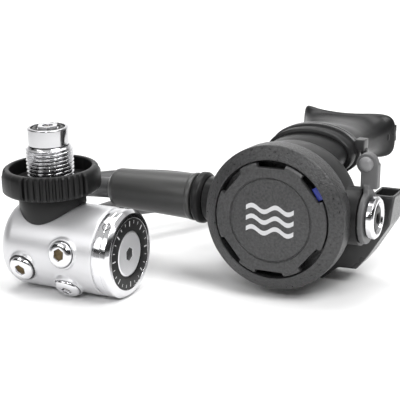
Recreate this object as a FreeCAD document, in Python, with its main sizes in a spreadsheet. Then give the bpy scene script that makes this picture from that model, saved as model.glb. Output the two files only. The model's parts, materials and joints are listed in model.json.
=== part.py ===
import FreeCAD, Part
import math
import os

import Sketcher

# Scuba regulator set: a balanced diaphragm first stage with a DIN inlet, a low-pressure
# hose and a demand second stage. Millimetres, +Z up, standing on Z = 0, with the origin
# under the middle of the two stages. Both stages have a frame of their own, turned by
# set_azimuth about +Z: X runs along the barrels, Y to the back and Z up. The DIN inlet has
# the first stage's frame leaned forward by inlet_tilt.

Vector = FreeCAD.Vector
UP = Vector(0, 0, 1)
RIGHT = Vector(1, 0, 0)
BACK = Vector(0, 1, 0)
FRONT = Vector(0, -1, 0)

DRIVING_DIMENSIONS = [
    ("set_azimuth", 26, "turn of both stages, right ends to the front"),
    ("first_x", -77.9, "DIN axis in the set"),
    ("first_y", -31.4, "DIN axis in the set"),
    ("second_x", 37.3, "middle of the valve barrel in the set"),
    ("second_y", -31.6, "middle of the valve barrel in the set"),
    ("second_height", 39.6, "valve barrel above the floor"),
    ("barrel_radius", 21.5, "first stage body and its height above the floor"),
    ("barrel_back", 20.5, "DIN axis to the closed end"),
    ("barrel_front", 33, "DIN axis to the cap seam"),
    ("barrel_rounding", 8, "rounding of the closed end"),
    ("diaphragm_seat", 21, "DIN axis to the first stage diaphragm"),
    ("chamber_radius", 14, "intermediate pressure chamber"),
    ("cap_bore_radius", 18.5, "bore that takes the cap skirt"),
    ("high_bore_radius", 6, "high pressure bore"),
    ("cap_length", 9.2, "cap from the seam to its face"),
    ("dial_radius", 17.4, "black dial in the cap face"),
    ("adjuster_radius", 11.2, "spring adjuster disc"),
    ("adjuster_hex", 6, "hexagon key size"),
    ("port_head_radius", 6.3, "head of a port plug"),
    ("port_boss_radius", 7.5, "boss round a port"),
    ("port_face", 22.6, "port face from the barrel axis"),
    ("low_port_radius", 4.75, "low pressure port, 3/8 inch thread"),
    ("high_port_radius", 5.5, "high pressure port, 7/16 inch thread"),
    ("plug_head_height", 2, "head of a port plug above its face"),
    ("plug_hex", 5, "hexagon key size"),
    ("inlet_tilt", 3.5, "lean of the DIN inlet to the front, about the barrel axis"),
    ("collar_radius", 16.3, "black collar under the hand wheel"),
    ("collar_top", 27.1, "collar top above the barrel axis"),
    ("wheel_radius", 24.2, "hand wheel"),
    ("wheel_height", 12, "hand wheel"),
    ("wheel_wall_radius", 19.9, "inside of the hand wheel rim"),
    ("wheel_web", 4.8, "bottom of the hand wheel"),
    ("wheel_base", 27.7, "hand wheel bottom above the barrel axis"),
    ("din_radius", 11.45, "G5/8 thread, outside"),
    ("din_top", 50.2, "thread top above the barrel axis"),
    ("stem_radius", 7.6, "inlet stem"),
    ("nose_radius", 9.85, "DIN nose"),
    ("nose_height", 8.5, "DIN nose above the thread"),
    ("hose_diameter", 11, "low pressure hose, outside"),
    ("ferrule_radius", 7.4, "crimped ferrule"),
    ("hose_port", -9, "hose port along the barrel"),
    ("hose_start", 49, "hose end from the barrel axis"),
    ("hose_end", 60, "hose end from the middle of the second stage"),
    ("protector_radius", 12.3, "hose protector at the second stage"),
    ("protector_tip_radius", 10.1, "hose protector at its tip"),
    ("protector_start", 50, "hose protector from the middle of the second stage"),
    ("protector_tip", 99.3, "hose protector tip, same origin"),
    ("nut_radius", 13.2, "swivel nut ring"),
    ("nut_start", 43.6, "swivel nut from the middle of the second stage"),
    ("nut_width", 6, "swivel nut"),
    ("case_radius", 32.5, "second stage case"),
    ("case_wall", 2.5, "second stage case"),
    ("case_front", 15, "valve axis to the case rim"),
    ("case_rear", 13, "valve axis to the case back"),
    ("cover_radius", 35.15, "front cover ring"),
    ("cover_back", 12, "valve axis to the back of the cover ring"),
    ("rim_depth", 9.9, "cover rim, from the back of the ring"),
    ("gap_depth", 13.9, "cover opening, from the back of the ring"),
    ("gap_radius", 28.4, "cover opening"),
    ("web_depth", 4.9, "cover web, from the back of the ring"),
    ("web_thickness", 1.3, "cover web"),
    ("button_radius", 27.8, "purge button"),
    ("button_face", 14.6, "purge button face, from the back of the ring"),
    ("button_thickness", 3.7, "purge button"),
    ("purge_travel", 3, "purge button"),
    ("valve_radius", 7.9, "valve barrel, outside"),
    ("valve_bore", 5.2, "valve barrel, inside"),
    ("stub_radius", 14, "case round the valve barrel"),
    ("stub_left", 43, "case stub at the inlet"),
    ("stub_right", 37.4, "case stub at the lever"),
    ("lever_collar_radius", 13, "collar of the venturi lever"),
    ("lever_reach", 26.2, "knob of the venturi lever above the valve axis"),
    ("lever_head_radius", 4.9, "rounded head of the venturi lever"),
    ("knob_radius", 3.4, "knob of the venturi lever"),
    ("neck_height", 22.5, "mouthpiece axis above the valve axis"),
    ("neck_half_width", 20.5, "case neck"),
    ("neck_half_height", 10.5, "case neck"),
    ("mouth_wall", 2.2, "silicone wall"),
    ("mouth_start", 24, "mouthpiece from the valve axis"),
    ("strap_start", 33, "strap from the valve axis"),
    ("strap_width", 5, "mouthpiece strap"),
    ("flange_start", 84, "bite flange from the valve axis"),
    ("flange_half_width", 26.5, "bite flange"),
    ("flange_half_height", 14.5, "bite flange"),
    ("tee_front", 16.4, "exhaust tee from the valve axis"),
    ("tee_depth", 19, "exhaust tee"),
    ("tee_wall", 2, "exhaust tee"),
]

document = FreeCAD.newDocument("scuba_regulator_set")
sheet = document.addObject("Spreadsheet::Sheet", "Dims")
for row, (alias, value, meaning) in enumerate(DRIVING_DIMENSIONS, start=1):
    sheet.set(f"A{row}", meaning)
    sheet.set(f"B{row}", str(value))
    sheet.setAlias(f"B{row}", alias)
document.recompute()


class Size:
    """A number with the sheet expression that gives it."""

    def __init__(self, value, text):
        self.value = float(value)
        self.text = text

    def joined(self, other, sign, value):
        return Size(value, f"({self.text} {sign} {as_size(other).text})")

    def __add__(self, other):
        return self.joined(other, "+", self.value + number(other))

    def __sub__(self, other):
        return self.joined(other, "-", self.value - number(other))

    def __mul__(self, other):
        return self.joined(other, "*", self.value * number(other))

    def __truediv__(self, other):
        return self.joined(other, "/", self.value / number(other))

    def __neg__(self):
        return Size(-self.value, f"(0 - {self.text})")


def as_size(value):
    return value if isinstance(value, Size) else Size(value, repr(float(value)))


def number(value):
    return value.value if isinstance(value, Size) else float(value)


class Sheet:
    """The driving dimensions by name."""


dims = Sheet()
for alias, value, meaning in DRIVING_DIMENSIONS:
    setattr(dims, alias, Size(sheet.get(alias), f"Dims.{alias}"))


def turn_to(direction):
    return FreeCAD.Rotation(UP, Vector(*direction))


def stage_frame(x, y, height):
    corner = Vector(number(x), number(y), number(height))
    return FreeCAD.Placement(corner, FreeCAD.Rotation(UP, -number(dims.set_azimuth)))


FIRST = stage_frame(dims.first_x, dims.first_y, dims.barrel_radius)
INLET = FIRST.multiply(FreeCAD.Placement(Vector(), FreeCAD.Rotation(RIGHT, number(dims.inlet_tilt))))
SECOND = stage_frame(dims.second_x, dims.second_y, dims.second_height)


def place(frame, x=0, y=0, z=0, direction=UP):
    """A spot in a stage's frame, with the piece's own +Z turned to the direction."""
    spot = Vector(number(x), number(y), number(z))
    return frame.multiply(FreeCAD.Placement(spot, turn_to(direction)))


def bind(item, **sizes):
    for name, size in sizes.items():
        item.setExpression(name, as_size(size).text)
    return item


def primitive(kind, name, spot, **sizes):
    item = document.addObject(kind, name)
    bind(item, **sizes)
    item.Placement = spot
    return item


def cylinder(name, spot, radius, height):
    return primitive("Part::Cylinder", name, spot, Radius=radius, Height=height)


def cone(name, spot, low_radius, high_radius, height):
    sizes = {"Radius1": low_radius, "Radius2": high_radius, "Height": height}
    return primitive("Part::Cone", name, spot, **sizes)


def torus(name, spot, ring_radius, cord_radius):
    return primitive("Part::Torus", name, spot, Radius1=ring_radius, Radius2=cord_radius)


def hexagon(name, spot, across_flats, height):
    item = primitive("Part::Prism", name, spot, Circumradius=as_size(across_flats) / math.sqrt(3))
    item.Polygon = 6
    return bind(item, Height=height)


def block(name, frame, low, high):
    """A box between two corners of a stage's frame."""
    lengths = [as_size(b) - a for a, b in zip(low, high)]
    sizes = dict(zip(("Length", "Width", "Height"), lengths))
    return primitive("Part::Box", name, place(frame, *low), **sizes)


def fused(name, *items):
    item = document.addObject("Part::MultiFuse", name)
    item.Shapes = list(items)
    item.Refine = True
    return item


def cut(name, base, *tools):
    item = document.addObject("Part::Cut", name)
    item.Base = base
    item.Tool = tools[0] if len(tools) == 1 else fused(name + "_tools", *tools)
    item.Refine = True
    return item


def loft(name, frame, sections):
    """A solid through ellipses (distance back, height, half width, half height)."""
    rings = []
    for step, (back, height, half_width, half_height) in enumerate(sections):
        spot = place(frame, 0, back, height)
        tilt = FreeCAD.Placement(Vector(), FreeCAD.Rotation(RIGHT, 90))
        ring = primitive(
            "Part::Ellipse",
            f"{name}_ring_{step}",
            spot.multiply(tilt),
            MajorRadius=half_width,
            MinorRadius=half_height,
        )
        rings.append(ring)
    item = document.addObject("Part::Loft", name)
    item.Sections = rings
    item.Solid = True
    item.Ruled = True
    return item


def origin_plane(body, role):
    return next(item for item in body.Origin.OriginFeatures if item.Role == role)


def turned(name, spot, outline, rounding=None):
    """A body turned about its own +Z from (radius, height) corners, none of them negative."""
    body = document.addObject("PartDesign::Body", name)
    sketch = body.newObject("Sketcher::SketchObject", name + "_outline")
    sketch.AttachmentSupport = [(origin_plane(body, "XZ_Plane"), "")]
    sketch.MapMode = "FlatFace"
    corners = [Vector(number(radius), number(height), 0) for radius, height in outline]
    for start, end in zip(corners, corners[1:] + corners[:1]):
        sketch.addGeometry(Part.LineSegment(start, end), False)
    last = len(outline) - 1
    for line in range(len(outline)):
        following = 0 if line == last else line + 1
        sketch.addConstraint(Sketcher.Constraint("Coincident", line, 2, following, 1))
    for line, corner in enumerate(outline):
        for kind, axis, size in zip(("DistanceX", "DistanceY"), (-2, -1), corner):
            if number(size) == 0:
                sketch.addConstraint(Sketcher.Constraint("PointOnObject", line, 1, axis))
                continue
            limit = Sketcher.Constraint(kind, -1, 1, line, 1, number(size))
            place_in_list = sketch.addConstraint(limit)
            if isinstance(size, Size):
                sketch.setExpression(f"Constraints[{place_in_list}]", size.text)
    revolution = body.newObject("PartDesign::Revolution", name + "_turned")
    revolution.Profile = sketch
    revolution.ReferenceAxis = (sketch, ["V_Axis"])
    revolution.Angle = 360
    if rounding:
        round_edge(body, revolution, *rounding)
    body.Placement = spot
    return body


def round_edge(body, feature, radius, height, rounding):
    """Fillet the circular edge of that radius and height."""
    document.recompute()
    names = [
        f"Edge{index}"
        for index, edge in enumerate(feature.Shape.Edges, start=1)
        if isinstance(edge.Curve, Part.Circle)
        and abs(edge.Curve.Radius - number(radius)) < 0.01
        and abs(edge.Curve.Center.z - number(height)) < 0.01
    ]
    fillet = body.newObject("PartDesign::Fillet", feature.Name + "_round")
    fillet.Base = (feature, names)
    bind(fillet, Radius=rounding)
    body.Tip = fillet


def coil_spring(name, spot, radius, wire_radius, length, turns):
    """A round-wire compression spring along its own +Z."""
    pitch = (number(length) - 2 * wire_radius) / turns
    helix = Part.makeHelix(pitch, pitch * turns, radius)
    wire = Part.Wire(Part.Circle(Vector(radius, 0, 0), BACK, wire_radius).toShape())
    swept = Part.Wire(helix.Edges).makePipeShell([wire], True, True)
    item = document.addObject("Part::Feature", name)
    item.Shape = swept
    item.Placement = spot.multiply(FreeCAD.Placement(UP * wire_radius, FreeCAD.Rotation()))
    return item


kept = []


def keep(item):
    """Mark an object as a sub-part; its label is its node and file name."""
    item.Label = item.Name
    kept.append(item)
    return item


# ---------------------------------------------------------------- first stage


def port_spot(along, angle, out):
    """A place on the barrel: along its axis, turned up from the front, and out from the axis."""
    turn = math.radians(angle)
    outward = Vector(0, -math.cos(turn), math.sin(turn))
    spot = outward * number(out)
    return place(FIRST, along, spot.y, spot.z, outward)


LOW_PLUGS = [(17.5, 7), (17, -43)]  # along the barrel, degrees up from the front
HIGH_PLUGS = [(-5.5, -19), (8, 205)]
HOSE_PORT = (dims.hose_port, 180)


def port_bottom(along):
    """Where a port's bore ends, out from the axis, clear of the cap's bore."""
    return 19 if number(along) > 15 else 15.5


def first_stage_body():
    back = dims.barrel_back
    full = back + dims.barrel_front
    shell = turned(
        "barrel_shell",
        place(FIRST, -back, direction=RIGHT),
        [
            (0, 0),
            (dims.barrel_radius, 0),
            (dims.barrel_radius, full),
            (dims.cap_bore_radius, full),
            (dims.cap_bore_radius, back + dims.diaphragm_seat),
            (dims.chamber_radius, back + dims.diaphragm_seat),
            (dims.chamber_radius, back + 14),
            (dims.high_bore_radius, back + 14),
            (dims.high_bore_radius, back - 10.5),
            (0, back - 10.5),
        ],
        (dims.barrel_radius, 0, dims.barrel_rounding),
    )
    boss_start = 19
    adds = [shell, cylinder("inlet_boss", place(INLET, z=15), 12, 9)]
    cuts = [
        cylinder("inlet_seat", place(INLET, z=15), dims.stem_radius, 12),
        cylinder("inlet_passage", place(INLET, z=4), 2.5, 12),
    ]
    ports = [(*spot, dims.low_port_radius) for spot in LOW_PLUGS + [HOSE_PORT]]
    ports += [(*spot, dims.high_port_radius) for spot in HIGH_PLUGS]
    for index, (along, angle, radius) in enumerate(ports):
        boss = port_spot(along, angle, boss_start)
        adds.append(cylinder(f"port_boss_{index}", boss, dims.port_boss_radius, dims.port_face - boss_start))
        bottom = port_bottom(along)
        cuts.append(cylinder(f"port_bore_{index}", port_spot(along, angle, bottom), radius, 8))
        inner = 11 if (along, angle) == HOSE_PORT else 3
        passage = port_spot(along, angle, inner)
        cuts.append(cylinder(f"port_passage_{index}", passage, 1.5, bottom + 0.5 - inner))
        seat = port_spot(along, angle, dims.port_face - 1.5)
        cuts.append(cylinder(f"port_seat_{index}", seat, radius + 1.6, 3))
    gallery = place(FIRST, dims.hose_port - 2.5, 11, direction=RIGHT)
    cuts.append(cylinder("hose_gallery", gallery, 1.6, -dims.hose_port + 15.5))
    keep(cut("first_stage_body", fused("barrel_with_bosses", *adds), *cuts))


def port_plugs(name, spots, radius):
    plugs = []
    for index, (along, angle) in enumerate(spots):
        shank_start = port_bottom(along) + 0.1
        shank = cylinder(f"{name}_shank_{index}", port_spot(along, angle, shank_start), radius,
                         dims.port_face - shank_start)
        head = cylinder(f"{name}_head_{index}", port_spot(along, angle, dims.port_face),
                        dims.port_head_radius, dims.plug_head_height)
        key = hexagon(f"{name}_key_{index}", port_spot(along, angle, dims.port_face - 1), dims.plug_hex, 4)
        plugs.append(cut(f"{name}_plug_{index}", fused(f"{name}_blank_{index}", shank, head), key))
    group = document.addObject("Part::Compound", name)
    group.Links = plugs
    keep(group)


def port_rings():
    cord = 0.75
    rings = []
    spots = [(*spot, dims.low_port_radius) for spot in LOW_PLUGS + [HOSE_PORT]]
    spots += [(*spot, dims.high_port_radius) for spot in HIGH_PLUGS]
    for index, (along, angle, radius) in enumerate(spots):
        spot = port_spot(along, angle, dims.port_face - cord)
        rings.append(torus(f"port_ring_{index}", spot, radius + cord + 0.02, cord - 0.01))
    group = document.addObject("Part::Compound", "port_o_rings")
    group.Links = rings
    keep(group)


def inlet():
    collar = cylinder("collar_blank", place(INLET, z=5), dims.collar_radius, dims.collar_top - 5)
    barrel = cylinder("collar_saddle", place(INLET, -40, direction=RIGHT), dims.barrel_radius + 0.02, 80)
    boss = cylinder("collar_bore", place(INLET, z=4), 12.05, 21)
    hole = cylinder("collar_hole", place(INLET, z=4), dims.stem_radius + 0.05, 40)
    keep(cut("neck_collar", collar, barrel, boss, hole))

    nose_base = dims.din_top + 0.3
    stem_start = 15.2
    stem_length = nose_base - stem_start
    nose_top = stem_length + dims.nose_height
    keep(
        turned(
            "din_nose",
            place(INLET, z=stem_start),
            [
                (2.5, 0),
                (dims.stem_radius, 0),
                (dims.stem_radius, stem_length),
                (dims.nose_radius, stem_length),
                (dims.nose_radius, nose_top - 0.8),
                (dims.nose_radius - 0.8, nose_top),
                (8.3, nose_top),
                (8.3, nose_top - 2.4),
                (5.2, nose_top - 2.4),
                (5.2, nose_top - 5),
                (2.5, nose_top - 5),
            ],
        )
    )
    top = nose_base + dims.nose_height
    keep(torus("nose_o_ring", place(INLET, z=top - 1.2), 6.78, 1.15))
    plug = cylinder("insert_blank", place(INLET, z=top - 5), 5.15, 4.4)
    cap = hexagon("insert_hex", place(INLET, z=top - 1), 9, 1.7)
    hole = cylinder("insert_hole", place(INLET, z=top - 6), 2.6, 8)
    keep(cut("filter_retainer", fused("insert_solid", plug, cap), hole))
    keep(cylinder("inlet_filter", place(INLET, z=top - 4.9), 2.55, 4.2))


def hand_wheel():
    hub_radius = 13.45
    flange = 3.2
    shoulder = 12.4
    keep(
        turned(
            "hand_wheel",
            place(INLET, z=dims.wheel_base),
            [
                (hub_radius, 0),
                (dims.wheel_radius - 1.2, 0),
                (dims.wheel_radius, 1.2),
                (dims.wheel_radius, dims.wheel_height - 1.2),
                (dims.wheel_radius - 1.2, dims.wheel_height),
                (dims.wheel_wall_radius, dims.wheel_height),
                (dims.wheel_wall_radius, dims.wheel_web),
                (shoulder + 0.02, dims.wheel_web),
                (shoulder + 0.02, flange),
                (hub_radius, flange),
            ],
        )
    )
    thread_top = dims.din_top - dims.wheel_base
    keep(
        turned(
            "din_coupler",
            place(INLET, z=dims.wheel_base),
            [
                (dims.stem_radius + 0.4, 0.1),
                (hub_radius - 0.02, 0.1),
                (hub_radius - 0.02, flange - 0.02),
                (shoulder, flange - 0.02),
                (shoulder, dims.wheel_web + 0.2),
                (dims.din_radius, dims.wheel_web + 0.2),
                (dims.din_radius, thread_top),
                (dims.stem_radius + 0.4, thread_top),
            ],
        )
    )


def cap_and_adjuster():
    start = dims.diaphragm_seat + 1.2
    seam = dims.barrel_front - start
    face = seam + dims.cap_length
    shell = turned(
        "cap_shell",
        place(FIRST, start, direction=RIGHT),
        [
            (dims.chamber_radius + 0.5, 0),
            (dims.cap_bore_radius - 0.05, 0),
            (dims.cap_bore_radius - 0.05, seam + 0.02),
            (dims.barrel_radius, seam + 0.02),
            (dims.barrel_radius, face - 1.8),
            (dims.barrel_radius - 1.8, face),
            (dims.dial_radius, face),
            (dims.dial_radius, face - 1.2),
            (dims.adjuster_radius, face - 1.2),
            (dims.adjuster_radius, seam + 1.2),
            (dims.chamber_radius + 0.5, seam + 1.2),
        ],
    )
    hole = cylinder("spanner_hole", port_spot(dims.barrel_front + 4.6, 50, 19.5), 2, 4)
    keep(cut("first_stage_cap", shell, hole))
    dial_spot = place(FIRST, start + face - 1.18, direction=RIGHT)
    dial = cylinder("dial_blank", dial_spot, dims.dial_radius - 0.02, 1)
    opening = cylinder("dial_opening", dial_spot, dims.adjuster_radius + 0.02, 3)
    keep(cut("dial_ring", dial, opening))
    disc_spot = place(FIRST, start + seam + 1.7, direction=RIGHT)
    disc = cylinder("adjuster_blank", disc_spot, dims.adjuster_radius - 0.02, face - seam - 2)
    key_spot = place(FIRST, start + face - 5, direction=RIGHT)
    key = hexagon("adjuster_key", key_spot, dims.adjuster_hex, 8)
    keep(cut("spring_adjuster", disc, key))


def first_stage_valve():
    start = dims.diaphragm_seat
    seat = place(FIRST, start + 0.05, direction=RIGHT)
    keep(cylinder("first_diaphragm", seat, dims.cap_bore_radius - 0.1, 1.1))
    keep(cylinder("diaphragm_pad", place(FIRST, start + 1.3, direction=RIGHT), 8, 1.5))
    spring_spot = place(FIRST, start + 2.85, direction=RIGHT)
    keep(coil_spring("main_spring", spring_spot, 6, 0.9, 9.9, 4))
    ring = cylinder("orifice_blank", place(FIRST, 11, direction=RIGHT), dims.high_bore_radius - 0.02, 3)
    hole = cylinder("orifice_hole", place(FIRST, 10, direction=RIGHT), 2.2, 5)
    keep(cut("high_pressure_orifice", ring, hole))
    keep(cylinder("high_pressure_poppet", place(FIRST, 2, direction=RIGHT), 4.2, 8.9))
    pin = cylinder("pin_shaft", place(FIRST, 10.92, direction=RIGHT), 1.1, 9.3)
    plate = cylinder("pin_plate", place(FIRST, 20.1, direction=RIGHT), 5, 0.92)
    keep(fused("lifter_pin", pin, plate))
    keep(coil_spring("poppet_spring", place(FIRST, -10.4, direction=RIGHT), 3.2, 0.5, 12.3, 6))


# ---------------------------------------------------------------- hose

# The route of the hose, chosen by hand in the set's own frame: out of the first stage's
# back port, down to the floor, round one loop behind it and up into the protector.
HOSE_ROUTE = [
    (-64.5, 16.6, 21.5),
    (-50.5, 45.2, 21.0),
    (-1.3, 78.4, 15.0),
    (12.7, 106.4, 9.0),
    (11.2, 137.6, 6.0),
    (-5.4, 164.0, 5.8),
    (-33.0, 178.9, 5.8),
    (-64.4, 178.2, 5.8),
    (-91.4, 162.1, 5.8),
    (-106.9, 134.8, 6.0),
    (-106.9, 98.6, 12.0),
    (-98.6, 65.4, 24.0),
    (-66.9, 19.2, 39.6),
    (-16.6, -5.3, 39.6),
]


def hose_path(points):
    """Straight runs joined by tangent arcs, and the radius of each arc."""
    points = [Vector(*point) for point in points]
    edges = []
    radii = []
    start = points[0]
    for before, corner, after in zip(points, points[1:], points[2:]):
        inward = (corner - before).normalize()
        outward = (after - corner).normalize()
        half_turn = inward.getAngle(outward) / 2
        reach = 0.45 * min(before.distanceToPoint(corner), corner.distanceToPoint(after))
        radius = reach / math.tan(half_turn)
        first = corner - inward * reach
        last = corner + outward * reach
        centre_line = (outward - inward).normalize()
        middle = corner + centre_line * (radius / math.cos(half_turn) - radius)
        edges.append(Part.LineSegment(start, first).toShape())
        edges.append(Part.Arc(first, middle, last).toShape())
        radii.append(radius)
        start = last
    edges.append(Part.LineSegment(start, points[-1]).toShape())
    return Part.Wire(edges), radii


def hose():
    path, radii = hose_path(HOSE_ROUTE)
    radius = number(dims.hose_diameter) / 2
    heading = Vector(*HOSE_ROUTE[1]) - Vector(*HOSE_ROUTE[0])
    section = Part.Wire(Part.Circle(Vector(*HOSE_ROUTE[0]), heading, radius).toShape())
    item = document.addObject("Part::Feature", "hose")
    item.Shape = path.makePipeShell([section], True, False)
    print("hose arc radii", [round(value, 1) for value in radii])
    print("hose length", round(path.Length, 1))
    expected = math.pi * radius**2 * path.Length
    print("hose volume against section times length", round(item.Shape.Volume / expected, 4))
    keep(item)


def hose_fittings():
    port = dims.port_face
    along, angle = HOSE_PORT
    shank_start = 16
    head = 7.5
    spot = port_spot(along, angle, shank_start)
    shank = cylinder("fitting_shank", spot, dims.low_port_radius, port - shank_start)
    nut = hexagon("fitting_hex", port_spot(along, angle, port), 14, head)
    bore = cylinder("fitting_bore", port_spot(along, angle, shank_start - 1), 2.5, 20)
    keep(cut("hose_fitting", fused("fitting_solid", shank, nut), bore))
    ferrule_start = port + head
    spot = port_spot(along, angle, ferrule_start)
    keep(cylinder("first_ferrule", spot, dims.ferrule_radius, dims.hose_start - ferrule_start))

    inlet_side = -RIGHT
    second = place(SECOND, -dims.protector_start, direction=inlet_side)
    keep(cylinder("second_ferrule", second, dims.ferrule_radius, dims.hose_end - dims.protector_start - 0.02))
    length = dims.protector_tip - dims.protector_start
    keep(
        turned(
            "hose_protector",
            second,
            [
                (dims.ferrule_radius + 0.02, 0),
                (dims.protector_radius, 0),
                (dims.protector_tip_radius, length - 6),
                (dims.protector_tip_radius - 0.6, length - 2.6),
                (dims.protector_tip_radius - 2.2, length - 0.5),
                (dims.protector_tip_radius - 3.4, length),
                (dims.hose_diameter / 2 + 0.02, length),
                (dims.hose_diameter / 2 + 0.02, 10.1),
                (dims.ferrule_radius + 0.02, 10.1),
            ],
        )
    )
    ring = dims.nut_radius
    keep(
        turned(
            "swivel_nut",
            place(SECOND, -dims.nut_start, direction=inlet_side),
            [
                (3, 0),
                (ring - 2.4, 0),
                (ring - 0.7, 0.9),
                (ring, dims.nut_width / 2),
                (ring - 0.7, dims.nut_width - 0.9),
                (ring - 2.4, dims.nut_width),
                (3, dims.nut_width),
            ],
        )
    )


# ---------------------------------------------------------------- second stage


def case():
    rear = dims.case_rear
    depth = dims.case_front + rear
    inner = dims.case_radius - dims.case_wall
    cup = turned(
        "case_cup",
        place(SECOND, y=rear, direction=FRONT),
        [
            (0, 0),
            (dims.case_radius, 0),
            (dims.case_radius, depth),
            (inner, depth),
            (inner, 3.5),
            (0, 3.5),
        ],
        (dims.case_radius, 0, 7),
    )
    left = cylinder("case_left", place(SECOND, -dims.stub_left, direction=RIGHT), 11.2, dims.stub_left - 28)
    right = cylinder("case_right", place(SECOND, dims.stub_right - 9, direction=RIGHT), dims.stub_radius, 9)
    neck = loft(
        "case_neck",
        SECOND,
        [
            (2, dims.neck_height - 3, dims.neck_half_width, dims.neck_half_height - 1.5),
            (dims.case_rear, dims.neck_height - 1, dims.neck_half_width, dims.neck_half_height),
            (22, dims.neck_height, dims.neck_half_width, dims.neck_half_height),
            (40, dims.neck_height, dims.neck_half_width, dims.neck_half_height),
        ],
    )
    airway = loft(
        "case_airway",
        SECOND,
        [
            (-4, dims.neck_height - 5, dims.neck_half_width - 2.2, dims.neck_half_height - 5.2),
            (dims.case_rear, dims.neck_height - 1, dims.neck_half_width - 2.2, dims.neck_half_height - 2.2),
            (22, dims.neck_height, dims.neck_half_width - 2.2, dims.neck_half_height - 2.2),
            (42, dims.neck_height, dims.neck_half_width - 2.2, dims.neck_half_height - 2.2),
        ],
    )
    exhaust = cylinder("case_exhaust", place(SECOND, y=4, z=-17, direction=BACK), 9.5, 16)
    bore = cylinder("case_bore", place(SECOND, -50, direction=RIGHT), dims.valve_radius + 0.02, 100)
    inside = cylinder("case_inside", place(SECOND, y=rear - 3.5, direction=FRONT), inner, depth)
    hull = cut("case_hull", fused("case_solid", cup, left, right, neck), inside, airway)
    keep(cut("second_stage_case", hull, exhaust, bore))


def cover():
    web = dims.web_depth
    top = web + dims.web_thickness
    spot = place(SECOND, y=-dims.cover_back, direction=FRONT)
    ring = turned(
        "cover_ring",
        spot,
        [
            (dims.case_radius + 0.1, 0),
            (dims.cover_radius - 0.6, 0),
            (dims.cover_radius, 0.6),
            (dims.cover_radius, dims.rim_depth),
            (dims.gap_radius, dims.gap_depth),
            (dims.gap_radius, top),
            (8.2, top),
            (8.2, web),
            (dims.case_radius + 0.1, web),
        ],
    )
    holes = []
    for index in range(6):
        turn = math.radians(60 * index)
        x, z = 18 * math.cos(turn), 18 * math.sin(turn)
        start = place(SECOND, x, -dims.cover_back - web + 1, z, FRONT)
        holes.append(cylinder(f"cover_hole_{index}", start, 5, 4))
    stub = cylinder("cover_stub_gap", place(SECOND, 28, direction=RIGHT), dims.stub_radius + 0.05, 10)
    keep(cut("front_cover", ring, stub, *holes))


NOTCH_INNER_RADIUS = 24.8
NOTCH_ANGLES = [40, 90, 140, 220, 270, 320]  # up from the right
INSERT_ANGLE = 33


def notch_block(name, angle, inner, half_width, splay, low, high):
    """A block at the button's edge, at that many degrees up from the right, splayed outwards."""
    turn = FreeCAD.Placement(Vector(), FreeCAD.Rotation(BACK, -angle))
    sideways = FreeCAD.Placement(Vector(), FreeCAD.Rotation(UP, -90))
    back = dims.cover_back
    sizes = {"Ymin": inner, "Ymax": dims.gap_radius + 1}
    for end, growth in (("", 0), ("2", splay)):
        sizes[f"X{end}min"] = back + low
        sizes[f"X{end}max"] = back + high
        sizes[f"Z{end}min"] = -half_width - growth
        sizes[f"Z{end}max"] = half_width + growth
    return primitive("Part::Wedge", name, SECOND.multiply(turn).multiply(sideways), **sizes)


def purge():
    back = dims.cover_back
    base = dims.button_face - dims.button_thickness
    edge = dims.button_radius
    disc = turned(
        "button_disc",
        place(SECOND, y=-back - dims.web_depth - 0.1, direction=FRONT),
        [
            (0, 0),
            (3, 0),
            (3, base - dims.web_depth),
            (edge, base - dims.web_depth),
            (edge, dims.button_face - dims.web_depth - 1),
            (edge - 1, dims.button_face - dims.web_depth),
            (20.7, dims.button_face - dims.web_depth),
            (20.4, dims.button_face - dims.web_depth - 0.7),
            (20, dims.button_face - dims.web_depth - 0.7),
            (19.7, dims.button_face - dims.web_depth - 0.2),
            (0, dims.button_face - dims.web_depth - 0.2),
        ],
    )
    notches = [
        notch_block(f"notch_{index}", angle, NOTCH_INNER_RADIUS, 6.7, 1.8, 5, 20)
        for index, angle in enumerate(NOTCH_ANGLES)
    ]
    keep(cut("purge_button", disc, *notches))
    insert = notch_block("insert_block", INSERT_ANGLE, NOTCH_INNER_RADIUS + 0.8, 3.2, 0, 6.22, 12.6)
    limit = cylinder("insert_limit", place(SECOND, direction=FRONT), dims.gap_radius - 0.05, 40)
    common = document.addObject("Part::Common", "blue_insert")
    common.Base = insert
    common.Tool = limit
    keep(common)
    top = dims.web_depth + dims.web_thickness
    spring_spot = place(SECOND, y=-back - top - 0.02, direction=FRONT)
    keep(coil_spring("purge_spring", spring_spot, 9.6, 0.45, base - top - 0.2, 2.5))


def demand_parts():
    rim = -dims.case_front
    seat = place(SECOND, y=rim - 0.05, direction=FRONT)
    keep(cylinder("second_diaphragm", seat, dims.case_radius - 0.4, 1.6))
    keep(cylinder("diaphragm_plate", place(SECOND, y=rim + 1, direction=FRONT), 9.5, 0.9))


LEVER_PIVOT = (12, -9.2)  # along the valve barrel, and back from its axis


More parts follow.
